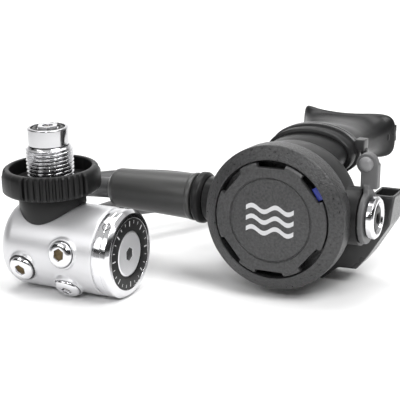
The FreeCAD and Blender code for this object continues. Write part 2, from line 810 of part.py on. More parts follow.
def valve():
    pivot_x, pivot_y = LEVER_PIVOT
    tube = turned(
        "valve_tube",
        place(SECOND, -43.2, direction=RIGHT),
        [
            (dims.valve_bore, 0),
            (dims.valve_radius, 0),
            (dims.valve_radius, 83.2),
            (dims.valve_bore, 83.2),
        ],
    )
    ears = [
        block(f"ear_{side}", SECOND, (pivot_x - 1.8, pivot_y - 1.8, min(z)), (pivot_x + 1.8, -5, max(z)))
        for side, z in enumerate([(4.6, 6.2), (-4.6, -6.2)])
    ]
    slot = block("lever_slot", SECOND, (9.8, -12, -4.4), (15, -1, 4.4))
    outlet = cylinder("air_outlet", place(SECOND, -18, direction=BACK), 3.5, 12)
    pin_hole = cylinder("pin_hole", place(SECOND, pivot_x, pivot_y, -8), 0.82, 16)
    keep(cut("valve_barrel", fused("valve_solid", tube, *ears), slot, outlet, pin_hole))
    keep(cylinder("lever_pin", place(SECOND, pivot_x, pivot_y, -6.6), 0.8, 13.2))

    knuckle = cylinder("knuckle", place(SECOND, pivot_x, pivot_y, -4.3), 1.5, 8.6)
    legs = [
        block(f"leg_{side}", SECOND, (pivot_x - 0.6, pivot_y, min(z)), (pivot_x + 0.6, -3.6, max(z)))
        for side, z in enumerate([(2.4, 3.6), (-2.4, -3.6)])
    ]
    tip_x, tip_y = -1.5, -13.2
    reach = math.hypot(pivot_x - tip_x, pivot_y - tip_y)
    tilt = math.degrees(math.atan2(pivot_y - tip_y, pivot_x - tip_x))
    arm_frame = SECOND.multiply(
        FreeCAD.Placement(Vector(tip_x, tip_y, 0), FreeCAD.Rotation(UP, tilt))
    )
    arm = block("lever_arm", arm_frame, (0, -0.45, -3), (reach, 0.45, 3))
    tip = cylinder("lever_tip", place(SECOND, tip_x, tip_y, -3), 0.6, 6)
    bore = cylinder("lever_bore", place(SECOND, pivot_x, pivot_y, -6), 0.88, 12)
    keep(cut("demand_lever", fused("lever_solid", knuckle, arm, tip, *legs), bore))

    seat = cylinder("seat_blank", place(SECOND, -36, direction=RIGHT), dims.valve_bore - 0.02, 10)
    hole = cylinder("seat_hole", place(SECOND, -37, direction=RIGHT), 2.2, 12)
    keep(cut("inlet_orifice", seat, hole))
    head = cylinder("poppet_head", place(SECOND, -25.9, direction=RIGHT), 4.6, 14)
    shaft = cylinder("poppet_shaft", place(SECOND, -12, direction=RIGHT), 1.9, 36)
    keep(fused("demand_poppet", head, shaft))
    nut = hexagon("nut_blank", place(SECOND, 13.1, direction=RIGHT), 8, 2.6)
    nut_hole = cylinder("nut_hole", place(SECOND, 12, direction=RIGHT), 1.92, 6)
    keep(cut("lever_nut", nut, nut_hole))
    keep(coil_spring("demand_spring", place(SECOND, 15.8, direction=RIGHT), 3.4, 0.5, 14, 6))


def barrel_end():
    start = dims.stub_right + 0.4
    keep(
        turned(
            "balance_plug",
            place(SECOND, 30, direction=RIGHT),
            [
                (2, 0),
                (dims.valve_bore - 0.02, 0),
                (dims.valve_bore - 0.02, 10.4),
                (6.6, 10.4),
                (6.6, 13.6),
                (3.4, 14.4),
                (2, 14.4),
            ],
        )
    )
    keep(
        turned(
            "barrel_end_ring",
            place(SECOND, 40.5, direction=RIGHT),
            [
                (6.7, 0),
                (9.4, 0),
                (10.2, 0.8),
                (10.2, 3.4),
                (9.4, 4.2),
                (7.6, 4.2),
                (6.7, 2.4),
            ],
        )
    )
    collar = cylinder("lever_ring", place(SECOND, start, direction=RIGHT), dims.lever_collar_radius, 2.5)
    hole = cylinder("lever_ring_hole", place(SECOND, start - 1, direction=RIGHT), dims.valve_radius + 0.3, 6)
    reach = dims.lever_reach
    face = -3.4
    hub = block("lever_hub", SECOND, (start, -4.5, 8), (start + 2.5, 4.5, dims.stub_radius + 2))
    arm = block("lever_plate", SECOND, (start - 1.8, face, dims.stub_radius + 0.4), (start + 6.4, 1.6, reach))
    head = cylinder("lever_head", place(SECOND, start + 0.8, 1.6, reach, FRONT), dims.lever_head_radius, 5)
    knob_spot = place(SECOND, start + 0.8, face, reach, FRONT)
    knob = cone("lever_knob", knob_spot, dims.knob_radius, dims.knob_radius - 1.4, 1.8)
    keep(cut("venturi_lever", fused("lever_blank", collar, hub, arm, head, knob), hole))


def exhaust():
    keep(cylinder("exhaust_valve", place(SECOND, y=dims.case_rear + 0.3, z=-17, direction=BACK), 11.5, 0.9))
    front = dims.tee_front
    floor = number(dims.second_height)
    outline = [
        (0, -floor),
        (12, -floor),
        (20, 6.8 - floor),
        (29.5, 7.2 - floor),
        (35.2, 14.6 - floor),
        (45.5, -8),
        (47.5, 7),
        (35.5, 7),
        (32, -6),
        (22, -17),
        (20, -3),
        (0, -3),
    ]
    body = document.addObject("PartDesign::Body", "tee_body")
    wall = number(dims.tee_wall)
    depth = number(dims.tee_depth)
    pad_outline(body, "tee_outline", outline, depth)
    body.Placement = place(SECOND, y=front)
    inner = [
        (0, wall - floor),
        (11.4, wall - floor),
        (19.4, 6.8 + wall - floor),
        (28.8, 7.2 + wall - floor),
        (33.6, 15.2 - floor),
        (43.6, -7),
        (45.7, 9),
        (37.4, 9),
        (33.9, -6.6),
        (22, -19.2),
        (18, -16),
        (18, -5),
        (0, -5),
    ]
    hollow = document.addObject("PartDesign::Body", "tee_hollow")
    pad_outline(hollow, "hollow_outline", inner, depth - 2 * wall)
    hollow.Placement = place(SECOND, y=front + wall)
    port = cylinder("tee_port", place(SECOND, y=front - 2, z=-17, direction=BACK), 12.2, 6)
    foot = block("tee_foot", SECOND, (-10, 9, -floor), (10, front + 2, 4.2 - floor))
    skirt_spot = place(SECOND, y=dims.case_rear + 0.05, z=-17, direction=BACK)
    skirt = cylinder("tee_skirt", skirt_spot, 14.5, front - dims.case_rear + 1)
    skirt_hole = cylinder("tee_skirt_hole", place(SECOND, y=8, z=-17, direction=BACK), 12.2, 12)
    keep(cut("exhaust_tee", fused("tee_solid", body, foot, skirt), hollow, port, skirt_hole))


def pad_outline(body, name, half_outline, depth):
    """Pad a mirrored outline (x, z) of a stage frame back by the depth."""
    mirrored = [(-x, z) for x, z in reversed(half_outline) if x > 0]
    corners = [Vector(x, z, 0) for x, z in half_outline + mirrored]
    sketch = body.newObject("Sketcher::SketchObject", name)
    sketch.AttachmentSupport = [(origin_plane(body, "XZ_Plane"), "")]
    sketch.MapMode = "FlatFace"
    for start, end in zip(corners, corners[1:] + corners[:1]):
        sketch.addGeometry(Part.LineSegment(start, end), False)
    for line in range(len(corners)):
        following = (line + 1) % len(corners)
        sketch.addConstraint(Sketcher.Constraint("Coincident", line, 2, following, 1))
        sketch.addConstraint(Sketcher.Constraint("Block", line))
    pad = body.newObject("PartDesign::Pad", name + "_pad")
    pad.Profile = sketch
    pad.Length = depth
    pad.Reversed = True


def mouth():
    width = dims.neck_half_width
    height = dims.neck_half_height
    level = dims.neck_height
    wall = dims.mouth_wall
    start = dims.mouth_start
    flange = dims.flange_start
    outer = loft(
        "mouth_outer",
        SECOND,
        [
            (start, level, width + wall, height + wall),
            (45, level, width + wall, height + wall),
            (62, level, width + 1, height),
            (flange, level, width + 3, height),
        ],
    )
    plate = loft(
        "mouth_plate",
        SECOND,
        [
            (flange - 1, level, dims.flange_half_width, dims.flange_half_height),
            (flange + 2.5, level, dims.flange_half_width, dims.flange_half_height),
        ],
    )
    over_neck = loft(
        "mouth_over_neck",
        SECOND,
        [(start - 2, level, width + 0.05, height + 0.05), (40.1, level, width + 0.05, height + 0.05)],
    )
    airway = loft(
        "mouth_airway",
        SECOND,
        [
            (38, level, width - 2.2, height - 2.2),
            (62, level, width - 2.5, height - 3),
            (100, level, width - 3, height - 4),
        ],
    )
    tabs = []
    for side, (low, high) in enumerate([(-25, -16), (16, 25)]):
        end = flange + 15
        tabs.append(block(f"tab_{side}", SECOND, (low, flange, level - 2), (high, end, level + 2)))
        tabs.append(block(f"lug_{side}", SECOND, (low, end - 2.5, level - 5), (high, end, level + 5)))
    keep(cut("mouthpiece", fused("mouth_solid", outer, plate, *tabs), over_neck, airway))
    band = loft(
        "band_outer",
        SECOND,
        [
            (dims.strap_start, level, width + wall + 1.3, height + wall + 1.3),
            (dims.strap_start + dims.strap_width, level, width + wall + 1.3, height + wall + 1.3),
        ],
    )
    band_hole = loft(
        "band_inner",
        SECOND,
        [
            (dims.strap_start - 1, level, width + wall + 0.02, height + wall + 0.02),
            (dims.strap_start + dims.strap_width + 1, level, width + wall + 0.02, height + wall + 0.02),
        ],
    )
    buckle_x = width + wall - 1
    buckle = block(
        "buckle",
        SECOND,
        (buckle_x, dims.strap_start - 1, level + 2),
        (buckle_x + 5, dims.strap_start + dims.strap_width + 1, level + 7.5),
    )
    keep(cut("mouthpiece_strap", fused("band_solid", band, buckle), band_hole))


first_stage_body()
port_plugs("low_pressure_plugs", LOW_PLUGS, dims.low_port_radius)
port_plugs("high_pressure_plugs", HIGH_PLUGS, dims.high_port_radius)
port_rings()
inlet()
hand_wheel()
cap_and_adjuster()
first_stage_valve()
hose()
hose_fittings()
case()
cover()
purge()
demand_parts()
valve()
barrel_end()
exhaust()
mouth()
document.recompute()

for item in document.Objects:
    if "Invalid" in item.State or "Error" in item.State:
        raise SystemExit(f"{item.Name} failed: {item.State}")
for item in kept:
    if item.Shape.isNull() or not item.Shape.isValid():
        raise SystemExit(f"{item.Label} has no valid shape")

os.makedirs("parts", exist_ok=True)
whole = FreeCAD.BoundBox()
for item in kept:
    item.Shape.exportStep(f"parts/{item.Label}.step")
    if item.Label != "hose":
        whole.add(item.Shape.BoundBox)
print(len(kept), "sub-parts; box without the hose", whole)
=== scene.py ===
import json
import math

import bmesh
import bpy
from mathutils import Matrix, Vector

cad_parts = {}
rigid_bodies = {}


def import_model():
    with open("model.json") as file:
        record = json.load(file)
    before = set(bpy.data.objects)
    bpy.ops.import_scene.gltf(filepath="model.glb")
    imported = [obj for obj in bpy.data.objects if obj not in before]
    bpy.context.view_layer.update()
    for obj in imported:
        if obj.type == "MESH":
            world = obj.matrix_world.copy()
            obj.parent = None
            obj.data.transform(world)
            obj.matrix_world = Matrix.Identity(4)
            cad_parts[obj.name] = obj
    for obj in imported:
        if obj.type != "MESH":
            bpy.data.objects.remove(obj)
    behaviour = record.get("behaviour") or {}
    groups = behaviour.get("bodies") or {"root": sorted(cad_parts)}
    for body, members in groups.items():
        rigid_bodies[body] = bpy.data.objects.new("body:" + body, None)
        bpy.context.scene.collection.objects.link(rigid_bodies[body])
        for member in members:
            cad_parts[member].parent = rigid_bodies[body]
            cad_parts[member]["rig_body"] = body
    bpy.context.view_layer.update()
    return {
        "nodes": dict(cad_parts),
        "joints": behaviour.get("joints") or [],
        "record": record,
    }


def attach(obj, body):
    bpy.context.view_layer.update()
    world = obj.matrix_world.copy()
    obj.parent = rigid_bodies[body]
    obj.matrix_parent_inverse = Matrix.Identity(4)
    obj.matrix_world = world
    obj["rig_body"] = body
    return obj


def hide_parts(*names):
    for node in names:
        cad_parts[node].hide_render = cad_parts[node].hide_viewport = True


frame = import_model()
nodes = frame["nodes"]
record = frame["record"]
MM = 0.001


# ---------------------------------------------------------------- frames
# Both stages stand upright, turned 26 degrees about Z. Their origins come from the record: where
# the inlet's axis meets the barrel's for the first stage, and the middle of the valve barrel for
# the second. The inlet leans forward about the first stage's barrel. Sizes are in millimetres.

THREAD_MIDDLE = 41.5  # from the first stage's origin up the inlet's axis to the thread mount


def stage(origin, across):
    """A stage's frame: X across it, Y to its back and Z up."""
    across = Vector(across).normalized()
    up = Vector((0, 0, 1))
    back = up.cross(across)
    turn = Matrix((across, back, up)).transposed().to_4x4()
    return Matrix.Translation(Vector(origin)) @ turn


swivel = next(joint for joint in frame["joints"] if joint["name"] == "hose_swivel")
thread = next(mount for mount in record["mounts"] if mount["name"] == "din_thread")
SECOND = stage(swivel["pos_m"], swivel["axis"])
inlet_axis = Vector(thread["axis"])
FIRST = stage(Vector(thread["pos_m"]) - inlet_axis * THREAD_MIDDLE * MM, swivel["axis"])
INLET = FIRST @ Matrix.Rotation(inlet_axis.angle((0, 0, 1)), 4, "X")
RIGHT = Vector((1, 0, 0))
FRONT = Vector((0, -1, 0))
BACK = Vector((0, 1, 0))
UP = Vector((0, 0, 1))


def spot(base, x=0.0, y=0.0, z=0.0, direction=UP):
    """A frame at a point of a stage, in millimetres, with its Z along the direction."""
    turn = direction.to_track_quat("Z", "Y").to_matrix().to_4x4()
    return base @ Matrix.Translation(Vector((x, y, z)) * MM) @ turn


# ---------------------------------------------------------------- camera and light

CAMERA_PLACE = (-6.8, -528.4, 171)
CAMERA_DOWN = 14.4  # degrees below level
CAMERA_LENS = 94.5

camera = bpy.data.objects.new("camera", bpy.data.cameras.new("camera"))
camera.data.lens = CAMERA_LENS
camera.data.sensor_width = 36
camera.location = Vector(CAMERA_PLACE) * MM
camera.rotation_euler = (math.radians(90 - CAMERA_DOWN), 0, 0)
bpy.context.scene.collection.objects.link(camera)
bpy.context.scene.camera = camera
bpy.context.scene.view_settings.view_transform = "Standard"


def light(name, place, target, width, depth, power):
    data = bpy.data.lights.new(name, "AREA")
    data.shape = "RECTANGLE"
    data.size = width
    data.size_y = depth
    data.energy = power
    item = bpy.data.objects.new(name, data)
    item.location = place
    item.rotation_euler = (Vector(target) - Vector(place)).to_track_quat("-Z", "Y").to_euler()
    bpy.context.scene.collection.objects.link(item)


light("key", (0.4, -0.45, 0.8), (0, 0, 0.03), 0.5, 0.4, 6)
light("fill", (-0.7, -0.55, 0.5), (0, 0, 0.04), 0.4, 0.4, 1.5)
light("glint", (-0.1, -0.9, 0.62), (0.03, -0.03, 0.05), 0.12, 0.12, 1.6)
light("top", (0, 0.2, 0.85), (0, 0, 0.03), 0.9, 0.5, 5.5)
light("backdrop", (0, 0.5, 0.7), (0, 1.5, 0.3), 2, 0.3, 9)

# The sky is white above the horizon, with a dark band below it that metal reflects.
world = bpy.data.worlds.new("studio")
bpy.context.scene.world = world
world.use_nodes = True
sky = world.node_tree
sky.nodes.clear()
where = sky.nodes.new("ShaderNodeTexCoord")
axes = sky.nodes.new("ShaderNodeSeparateXYZ")
ramp = sky.nodes.new("ShaderNodeValToRGB")
shade = sky.nodes.new("ShaderNodeBackground")
out = sky.nodes.new("ShaderNodeOutputWorld")
sky.links.new(where.outputs["Generated"], axes.inputs[0])
sky.links.new(axes.outputs["Z"], ramp.inputs[0])
sky.links.new(ramp.outputs[0], shade.inputs["Color"])
sky.links.new(shade.outputs[0], out.inputs[0])
stops = ramp.color_ramp
stops.elements[0].position = 0.0
stops.elements[0].color = (0.55, 0.55, 0.56, 1)
stops.elements[1].position = 1.0
stops.elements[1].color = (1, 1, 1, 1)
for position, level in ((0.1, 0.5), (0.16, 0.05), (0.48, 0.07), (0.56, 0.95)):
    stop = stops.elements.new(position)
    stop.color = (level, level, level, 1)
shade.inputs["Strength"].default_value = 0.6


# ---------------------------------------------------------------- materials


def material(
    name, shades, roughness, metallic=0.0, speck=0.5, bump=0.05, blotch=25, spread=0.06, edge=0.0, **extra
):
    """A procedural finish. speck is the grain in mm, bump its depth in mm, shades two colours that
    drift into each other at the blotch scale, spread how far the roughness wanders, and edge how
    much lighter worn edges are. extra sets other sockets of the shader."""
    finish = bpy.data.materials.new(name)
    finish.use_nodes = True
    tree = finish.node_tree
    tree.nodes.clear()
    make = tree.nodes.new
    shader = make("ShaderNodeBsdfPrincipled")
    surface = make("ShaderNodeOutputMaterial")
    tree.links.new(shader.outputs[0], surface.inputs[0])
    place = make("ShaderNodeTexCoord")
    drift = make("ShaderNodeTexNoise")
    drift.inputs["Scale"].default_value = blotch
    drift.inputs["Detail"].default_value = 4
    grain = make("ShaderNodeTexNoise")
    grain.inputs["Scale"].default_value = 1000 / speck
    grain.inputs["Detail"].default_value = 2
    for node in (drift, grain):
        tree.links.new(place.outputs["Object"], node.inputs["Vector"])
    ramp = make("ShaderNodeValToRGB")
    ramp.color_ramp.elements[0].position = 0.3
    ramp.color_ramp.elements[1].position = 0.7
    for element, colour in zip(ramp.color_ramp.elements, shades):
        element.color = (*colour, 1)
    tree.links.new(drift.outputs["Fac"], ramp.inputs[0])
    colour = ramp.outputs[0]
    if edge:
        form = make("ShaderNodeNewGeometry")
        sharp = make("ShaderNodeMapRange")
        sharp.inputs["From Min"].default_value = 0.52
        sharp.inputs["From Max"].default_value = 0.62
        sharp.inputs["To Max"].default_value = edge
        tree.links.new(form.outputs["Pointiness"], sharp.inputs["Value"])
        worn = make("ShaderNodeMix")
        worn.data_type = "RGBA"
        worn.inputs["B"].default_value = (*[min(1, 3 * part + 0.05) for part in shades[1]], 1)
        tree.links.new(sharp.outputs[0], worn.inputs["Factor"])
        tree.links.new(colour, worn.inputs["A"])
        colour = worn.outputs["Result"]
    tree.links.new(colour, shader.inputs["Base Color"])
    rough = make("ShaderNodeMapRange")
    rough.inputs["From Min"].default_value = 0.3
    rough.inputs["From Max"].default_value = 0.7
    rough.inputs["To Min"].default_value = max(0.02, roughness - spread)
    rough.inputs["To Max"].default_value = roughness + spread
    tree.links.new(drift.outputs["Fac"], rough.inputs["Value"])
    tree.links.new(rough.outputs[0], shader.inputs["Roughness"])
    shader.inputs["Metallic"].default_value = metallic
    for socket, value in extra.items():
        shader.inputs[socket.replace("_", " ")].default_value = value
    if bump:
        relief = make("ShaderNodeBump")
        relief.inputs["Distance"].default_value = bump * MM
        relief.inputs["Strength"].default_value = 1
        tree.links.new(grain.outputs["Fac"], relief.inputs["Height"])
        tree.links.new(relief.outputs[0], shader.inputs["Normal"])
    return finish


def grey(low, high, tint=(1, 1, 1.02)):
    return [tuple(level * part for part in tint) for level in (low, high)]


dull = {"Specular_IOR_Level": 0.22}
satin = material("satin_silver", grey(0.64, 0.7), 0.36, 0.68, speck=0.25, bump=0.006, spread=0.03)
chrome = material("chrome", grey(0.74, 0.8), 0.09, 1.0, speck=0.6, bump=0.0015, spread=0.025)
thread_chrome = material("thread_chrome", grey(0.6, 0.66), 0.14, 1.0, speck=0.4, bump=0.003, spread=0.04)
nose_chrome = material("nose_chrome", grey(0.5, 0.58), 0.13, 1.0, speck=0.5, bump=0.002, spread=0.03)
disc_steel = material("disc_steel", grey(0.78, 0.84), 0.3, 0.7, speck=0.3, bump=0.003, spread=0.03)
wheel_plastic = material(
    "wheel_plastic", grey(0.006, 0.01), 0.38, speck=0.3, bump=0.02, edge=0.12, **dull
)
collar_plastic = material(
    "collar_plastic", grey(0.009, 0.014), 0.42, speck=0.3, bump=0.012, edge=0.1, **dull
)
dial_black = material("dial_black", grey(0.008, 0.012), 0.3, speck=0.3, bump=0.004, **dull)
mark_paint = material("mark_paint", grey(0.55, 0.62), 0.5, speck=0.3, bump=0.004)
cover_plastic = material(
    "cover_plastic", grey(0.016, 0.05), 0.36, speck=0.9, bump=0.32, blotch=800, spread=0.1
)
button_plastic = material(
    "button_plastic", grey(0.024, 0.06), 0.46, speck=0.8, bump=0.2, blotch=900, spread=0.08
)
case_plastic = material(
    "case_plastic", grey(0.007, 0.012), 0.34, speck=0.4, bump=0.015, edge=0.1, **dull
)
tee_plastic = material("tee_plastic", grey(0.022, 0.03), 0.26, speck=0.4, bump=0.012, edge=0.15)
lever_plastic = material("lever_plastic", grey(0.075, 0.1), 0.4, speck=0.4, bump=0.015, edge=0.15)
knob_plastic = material("knob_plastic", grey(0.16, 0.2), 0.28, speck=0.4, bump=0.008)
blue_plastic = material(
    "blue_plastic", [(0.015, 0.025, 0.2), (0.025, 0.04, 0.3)], 0.35, speck=0.3, bump=0.008
)
hose_rubber = material("hose_rubber", grey(0.05, 0.066), 0.42, speck=0.35, bump=0.015)
sleeve_rubber = material("sleeve_rubber", grey(0.04, 0.056, (1, 1, 0.98)), 0.36, speck=0.5, bump=0.012)
silicone = material(
    "silicone", grey(0.011, 0.018), 0.32, speck=0.7, bump=0.01, blotch=40, edge=0.08, **dull
)
seal_rubber = material("seal_rubber", grey(0.012, 0.02), 0.4, speck=0.2, bump=0.01)
clear_silicone = material("clear_silicone", grey(0.45, 0.52), 0.4, speck=0.4, bump=0.01)
strap_plastic = material("strap_plastic", grey(0.03, 0.04), 0.3, speck=0.4, bump=0.008, edge=0.2)
# Brass colour darkened with painted shade, for the bottoms of the plugs' sockets.
socket_brass_shade = material(
    "brass_with_painted_shade", [(0.1, 0.07, 0.035), (0.2, 0.15, 0.08)], 0.45, 0.7, speck=0.25, bump=0.01
)
brass = material("brass", [(0.62, 0.44, 0.17), (0.7, 0.5, 0.22)], 0.25, 1.0, speck=0.25, bump=0.006)
steel = material("steel", grey(0.5, 0.58), 0.24, 1.0, speck=0.2, bump=0.006)

FINISHES = {
    "satin_silver": satin,
    "chrome": chrome,
    "wheel_plastic": wheel_plastic,
    "collar_plastic": collar_plastic,
    "dial_black": dial_black,
    "cover_plastic": cover_plastic,
    "case_plastic": case_plastic,
    "lever_plastic": lever_plastic,
    "blue_plastic": blue_plastic,
    "hose_rubber": hose_rubber,
    "protector_rubber": sleeve_rubber,
    "silicone": silicone,
    "seal_rubber": seal_rubber,
    "clear_silicone": clear_silicone,
    "strap_plastic": strap_plastic,
    "brass": brass,
    "steel": steel,
}
slot_of = {part["node"]: part["material_slot"] for part in record["subparts"]}
for name, item in nodes.items():
    item.data.materials.clear()
    item.data.materials.append(FINISHES[slot_of[name]])


# ---------------------------------------------------------------- building pieces


def linked(name, data):
    item = bpy.data.objects.new(name, data)
    bpy.context.scene.collection.objects.link(item)
    return item


def piece(name, mesh, finish, body, node=None, angle=30):
    """A visible piece that rides on a body, and stands for a CAD node if one is named. Edges sharper
    than the angle stay sharp."""
    item = linked(name, mesh)
    mesh.materials.clear()
    mesh.materials.append(finish)
    mesh.shade_smooth()
    mesh.set_sharp_from_angle(angle=math.radians(angle))
    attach(item, body)
    if node:
        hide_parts(node)
    return item


def from_work(name, work):
    """A new mesh from a bmesh, which is freed."""
    mesh = bpy.data.meshes.new(name)
    work.to_mesh(mesh)
    work.free()
    return mesh


def closed_mesh(name, vertices, faces):
    """A mesh with its doubled vertices merged and its normals outwards."""
    mesh = bpy.data.meshes.new(name)
    mesh.from_pydata(vertices, [], faces)
    work = bmesh.new()
    work.from_mesh(mesh)
    bmesh.ops.remove_doubles(work, verts=work.verts, dist=1e-6)
    bmesh.ops.recalc_face_normals(work, faces=work.faces)
    work.to_mesh(mesh)
    work.free()
    return mesh


def rounded(outline, radius, steps=4):
    """The closed outline (r, h, radius) with each corner rounded; a corner may state its own radius."""
    result = []
    count = len(outline)
    for index, corner in enumerate(outline):
        own = corner[2] if len(corner) > 2 else radius
        before = Vector(outline[index - 1][:2])
        here = Vector(corner[:2])
        after = Vector(outline[(index + 1) % count][:2])
        inward = here - before
        outward = after - here
        turn = abs(inward.angle_signed(outward)) if inward.length and outward.length else 0
        if own <= 0 or turn < 0.02 or here.x < 1e-6:
            result.append(here)
            continue
        reach = min(own * math.tan(turn / 2), 0.45 * inward.length, 0.45 * outward.length)
        start = here - inward.normalized() * reach
        end = here + outward.normalized() * reach
        for step in range(steps + 1):
            t = step / steps
            result.append(start * (1 - t) ** 2 + here * 2 * t * (1 - t) + end * t**2)
    return [(point.x, point.y) for point in result]


def ring_faces(total, segments, closed=True):
    """The faces between rings of vertices. Closed, the last ring meets the first."""
    faces = []
    for ring in range(total if closed else total - 1):
        here, following = ring * segments, (ring + 1) % total * segments
        for step in range(segments):
            ahead = (step + 1) % segments
            faces.append((here + step, here + ahead, following + ahead, following + step))
    return faces


def around(name, place, rings, segments=144, closed=True):
    """A surface of revolution whose radius may vary with the turn: each ring is (radius, height) in
    mm, or (function of the turn, height)."""
    vertices = []
    for radius, level in rings:
        for step in range(segments):
            turn = 2 * math.pi * step / segments
            r = radius(turn) if callable(radius) else radius
            h = level(turn) if callable(level) else level
            vertices.append(place @ (Vector((r * math.cos(turn), r * math.sin(turn), h)) * MM))
    return closed_mesh(name, vertices, ring_faces(len(rings), segments, closed))


def turned(name, place, outline, radius, finish, body, node=None, segments=144):
    """A turned piece from the outline of its section, with corners rounded to the radius."""
    return piece(name, around(name, place, rounded(outline, radius), segments), finish, body, node)


def hexagon(across):
    """The radius of a hexagon with that distance across its flats, at a turn."""
    return lambda turn: across / 2 / math.cos((turn + math.pi / 6) % (math.pi / 3) - math.pi / 6)


def applied(item):
    """The mesh of an object with its modifiers applied."""
    scene = bpy.context.evaluated_depsgraph_get()
    mesh = bpy.data.meshes.new_from_object(item.evaluated_get(scene))
    bpy.data.objects.remove(item)
    return mesh


def copied(node, flat=0.6):
    """A clean copy of a CAD node's mesh, with its flat faces whole again."""
    mesh = nodes[node].data.copy()
    work = bmesh.new()
    work.from_mesh(mesh)
    bmesh.ops.remove_doubles(work, verts=work.verts, dist=2e-6)
    if flat:
        bmesh.ops.dissolve_limit(
            work, angle_limit=math.radians(flat), verts=work.verts, edges=work.edges, delimit=set()
        )
    return linked(node + "_copy", from_work(node + "_copy", work))


def bevelled(node, width, finish):
    """A CAD node with its edges rounded."""
    item = copied(node)
    bevel = item.modifiers.new("edges", "BEVEL")
    bevel.width = width * MM
    bevel.segments = 3
    bevel.limit_method = "ANGLE"
    bevel.angle_limit = math.radians(32)
    bevel.use_clamp_overlap = True
    return piece(node + "_detail", applied(item), finish, nodes[node]["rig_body"], node, 40)


def softened(node, voxel, passes, finish):
    """A CAD node remeshed and smoothed, as a cast or moulded part."""
    item = copied(node, 0)
    remesh = item.modifiers.new("remesh", "REMESH")
    remesh.mode = "VOXEL"
    remesh.voxel_size = voxel * MM
    smooth = item.modifiers.new("smooth", "SMOOTH")
    smooth.factor = 0.5
    smooth.iterations = passes
    return piece(node + "_detail", applied(item), finish, nodes[node]["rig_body"], node, 60)


# ---------------------------------------------------------------- hose

HOSE_RADIUS = 5.5
FERRULE_RADIUS = 7.4
HOSE_PORT = -9  # along the first stage
HOSE_LEAVES = 49  # behind the barrel's axis
HOSE_MEETS = -50  # along the second stage

HOSE = [
    (-64.5, 16.6, 21.5),
    (-50.5, 45.2, 21.0),
    (-1.3, 78.4, 15.0),
    (12.7, 106.4, 9.0),
    (11.2, 137.6, 6.0),
    (-5.4, 164.0, 5.8),
    (-33.0, 178.9, 5.8),
    (-64.4, 178.2, 5.8),
    (-91.4, 162.1, 5.8),
    (-106.9, 134.8, 6.0),
    (-106.9, 98.6, 12.0),
    (-98.6, 65.4, 24.0),
    (-66.9, 19.2, 39.6),
    (-16.6, -5.3, 39.6),
]
line = bpy.data.curves.new("low_pressure_hose", "CURVE")
line.dimensions = "3D"
line.resolution_u = 14
line.bevel_depth = HOSE_RADIUS * MM
line.bevel_resolution = 10
line.use_fill_caps = True
run = line.splines.new("NURBS")
run.points.add(len(HOSE) - 1)
for point, place in zip(run.points, HOSE):
    point.co = (*(Vector(place) * MM), 1)
run.order_u = 3
run.use_endpoint_u = True
hose = linked("low_pressure_hose", line)
line.materials.append(hose_rubber)
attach(hose, "first_stage")
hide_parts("hose")

grooved = [(HOSE_RADIUS, 30.1), (6.6, 30.1), (FERRULE_RADIUS, 31)]
for groove in (35.6, 41.6):
    grooved += [(FERRULE_RADIUS, groove - 0.6), (7, groove), (FERRULE_RADIUS, groove + 0.6)]
grooved += [(FERRULE_RADIUS, 48), (6.6, HOSE_LEAVES), (HOSE_RADIUS, HOSE_LEAVES)]
ferrule_a = turned(
    "port_ferrule", spot(FIRST, HOSE_PORT, 0, 0, BACK), grooved, 0.3, chrome, "first_stage", "first_ferrule"
)
hose_end = spot(SECOND, HOSE_MEETS, 0, 0, -RIGHT)
ferrule_b = turned(
    "swivel_ferrule",
    hose_end,
    [(HOSE_RADIUS, 0), (FERRULE_RADIUS, 0), (FERRULE_RADIUS, 10), (HOSE_RADIUS, 10)],
    0.3, chrome, "first_stage", "second_ferrule",
)
sleeve = turned(
    "hose_sleeve",
    hose_end,
    [
        (FERRULE_RADIUS, 0), (12.3, 0, 0.8), (12.2, 2, 0.5), (11.8, 3, 0.5), (10.3, 45.5, 3),
        (9.7, 47.4, 1.5), (7.6, 49.2, 1.2), (HOSE_RADIUS, 49.3), (HOSE_RADIUS, 10.1), (FERRULE_RADIUS, 10.1),
    ],
    0.3, sleeve_rubber, "first_stage", "hose_protector",
)
turned(
    "swivel_ring",
    spot(SECOND, -43.6, 0, 0, -RIGHT),
    [(8, 0), (11.2, 0, 1), (13.1, 1.6, 1.6), (13.1, 4.4, 1.6), (11.2, 6, 1), (8, 6)],
    0.4, collar_plastic, "first_stage", "swivel_nut",
)
bevelled("hose_fitting", 0.5, chrome)

# ---------------------------------------------------------------- first stage

BARREL_RADIUS = 21.5
COLLAR_RADIUS = 16.3
COLLAR_TOP = 27.1  # up the inlet's axis
COLLAR_BORE_END = 24.1
STEM_RADIUS = 7.7
WHEEL_BASE = 27.7

softened("first_stage_body", 0.42, 7, satin)


def saddle(radius):
    """How high the barrel is under a ring of that radius about the inlet, at a turn."""
    return lambda turn: math.sqrt((BARREL_RADIUS + 0.05) ** 2 - (radius * math.sin(turn)) ** 2)


collar = around(
    "saddle_collar",
    INLET,
    [
        (12.1, saddle(12.1)),
        (15.3, saddle(15.3)),
        (16.1, lambda turn: saddle(16.1)(turn) + 0.3),
        (COLLAR_RADIUS, lambda turn: saddle(COLLAR_RADIUS)(turn) + 1.1),
        (COLLAR_RADIUS, COLLAR_TOP - 0.8),
        (15.9, COLLAR_TOP - 0.2),
        (15.2, COLLAR_TOP),
        (STEM_RADIUS, COLLAR_TOP),
        (STEM_RADIUS, COLLAR_BORE_END),
        (12.1, COLLAR_BORE_END),
    ],
    192,
)
piece("saddle_collar", collar, collar_plastic, "first_stage", "neck_collar", 35)

RIBBED_HALF = 38.5  # degrees each side of the middle of a ribbed stretch
RIB_STEP = 7.6  # degrees
WHEEL_TURN = 113  # degrees, which faces a ribbed stretch forward


